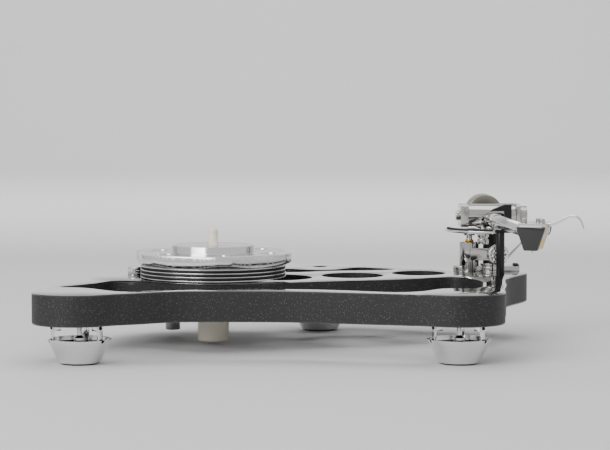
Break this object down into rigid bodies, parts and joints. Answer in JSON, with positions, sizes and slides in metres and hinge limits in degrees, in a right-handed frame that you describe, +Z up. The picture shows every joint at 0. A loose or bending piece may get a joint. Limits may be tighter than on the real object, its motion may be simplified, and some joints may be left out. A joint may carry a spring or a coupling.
{
  "type": "turntable record player",
  "caption": "Belt-drive turntable with an open skeletal plinth on cone feet, a grooved hub with spindle, and a parked pivoting tonearm; the platter is lifted off.",
  "frame": {"origin": "middle of the footprint on the surface the feet stand on", "axes": "+X right, +Y back, +Z up, seen from the front"},
  "size_m": [0.3858, 0.325, 0.1102],
  "materials": {
    "composite_core": "fine-speckled satin",
    "gloss_laminate": "mirror gloss",
    "cream_ceramic": "ground ceramic",
    "polished_aluminium": "polished",
    "polished_steel": "polished",
    "black_anodised": "satin black",
    "grey_metal": "satin",
    "black_screws": "black oxide",
    "belt_rubber": "matte",
    "pad_rubber": "matte",
    "gold_plate": "polished",
    "black_plastic": "gloss",
    "cream_plastic": "satin",
    "yellow_plastic": "satin",
    "lead_green": "satin",
    "lead_red": "satin",
    "lead_white": "satin",
    "lead_blue": "satin"
  },
  "bodies": {
    "root": {"plinth_core": "composite_core", "plinth_top_skin": "gloss_laminate", "plinth_bottom_skin": "gloss_laminate", "hub_side_fixing": "polished_aluminium", "rear_foot_bolt": "black_anodised", "bearing_housing": "cream_ceramic", "thrust_ball": "polished_steel", "motor_can": "black_anodised", "motor_flange": "polished_aluminium", "motor_lower_boss": "grey_metal", "drive_belts": "belt_rubber", "front_left_foot": "polished_aluminium", "front_right_foot": "polished_aluminium", "rear_foot": "polished_aluminium", "foot_pads": "pad_rubber", "strap_lugs": "polished_aluminium", "foot_straps": "polished_aluminium", "foot_screws": "black_screws", "levelling_studs": "polished_aluminium", "arm_base_plate": "polished_steel", "arm_collar": "polished_steel", "arm_base_screws": "black_screws", "arm_pillar": "black_anodised", "tonearm_cable_socket": "black_plastic", "arm_rest_post": "black_anodised", "arm_rest_clip": "black_anodised", "lift_cylinder": "polished_steel", "lift_gold_ring": "gold_plate", "lift_bracket": "polished_steel"},
    "hub": {"grooved_drum": "polished_aluminium", "platter_carrier": "polished_aluminium", "spindle_shaft": "cream_ceramic"},
    "pulley": {"motor_pulley": "polished_steel", "motor_shaft": "polished_steel"},
    "yoke": {"arm_yoke": "polished_steel", "pivot_pins": "polished_steel", "pivot_cap": "polished_steel"},
    "force_dial": {"tracking_force_dial": "polished_steel"},
    "arm": {"arm_barrel": "polished_steel", "arm_tube": "polished_aluminium", "counterweight_rod": "polished_steel", "headshell": "polished_aluminium", "headshell_bolts": "black_screws", "cartridge_cover": "black_plastic", "cartridge_body": "cream_plastic", "stylus_holder": "yellow_plastic", "stylus": "polished_steel", "finger_lift": "polished_aluminium", "cartridge_lead_green": "lead_green", "cartridge_lead_red": "lead_red", "cartridge_lead_white": "lead_white", "cartridge_lead_blue": "lead_blue"},
    "weight": {"counterweight": "polished_steel"},
    "lever": {"lift_lever": "polished_steel", "lift_lever_dial": "polished_aluminium"},
    "platform": {"lift_platform": "polished_aluminium", "lift_height_knob": "polished_steel", "lift_adjust_knob": "polished_steel", "lift_pad": "pad_rubber"}
  },
  "joints": [
    {"name": "hub_spin", "type": "hinge", "parent": "root", "child": "hub", "pos_m": [-0.0679, 0.0355, 0.055], "axis": [0, 0, 1], "continuous": true},
    {"name": "pulley_spin", "type": "hinge", "parent": "root", "child": "pulley", "pos_m": [-0.10239, 0.09549, 0.055], "axis": [0, 0, 1], "continuous": true},
    {"name": "arm_swing", "type": "hinge", "parent": "root", "child": "yoke", "pos_m": [0.1487, 0.0843, 0.08], "axis": [0, 0, 1], "range_deg": [-66, 0]},
    {"name": "arm_pitch", "type": "hinge", "parent": "yoke", "child": "arm", "pos_m": [0.1487, 0.0843, 0.0955], "axis": [-0.9992, -0.0393, 0], "range_deg": [-1.5, 4]},
    {"name": "force_dial_turn", "type": "hinge", "parent": "yoke", "child": "force_dial", "pos_m": [0.17368, 0.08528, 0.0955], "axis": [0.9992, 0.0393, 0], "range_deg": [0, 300]},
    {"name": "counterweight_slide", "type": "slide", "parent": "arm", "child": "weight", "axis": [0.0393, -0.9992, 0], "range_m": [-0.006, 0.01]},
    {"name": "lift_lever_turn", "type": "hinge", "parent": "root", "child": "lever", "pos_m": [0.1531, 0.0739, 0.0656], "axis": [0, 1, 0], "range_deg": [0, 45]},
    {"name": "lift_platform_slide", "type": "slide", "parent": "root", "child": "platform", "axis": [0, 0, 1], "range_m": [-0.003, 0]}
  ],
  "couplings": [
    {"joint": "pulley_spin", "follows": "hub_spin", "ratio": 7.48},
    {"joint": "lift_platform_slide", "follows": "lift_lever_turn", "m_per_rad": -0.0038197}
  ]
}
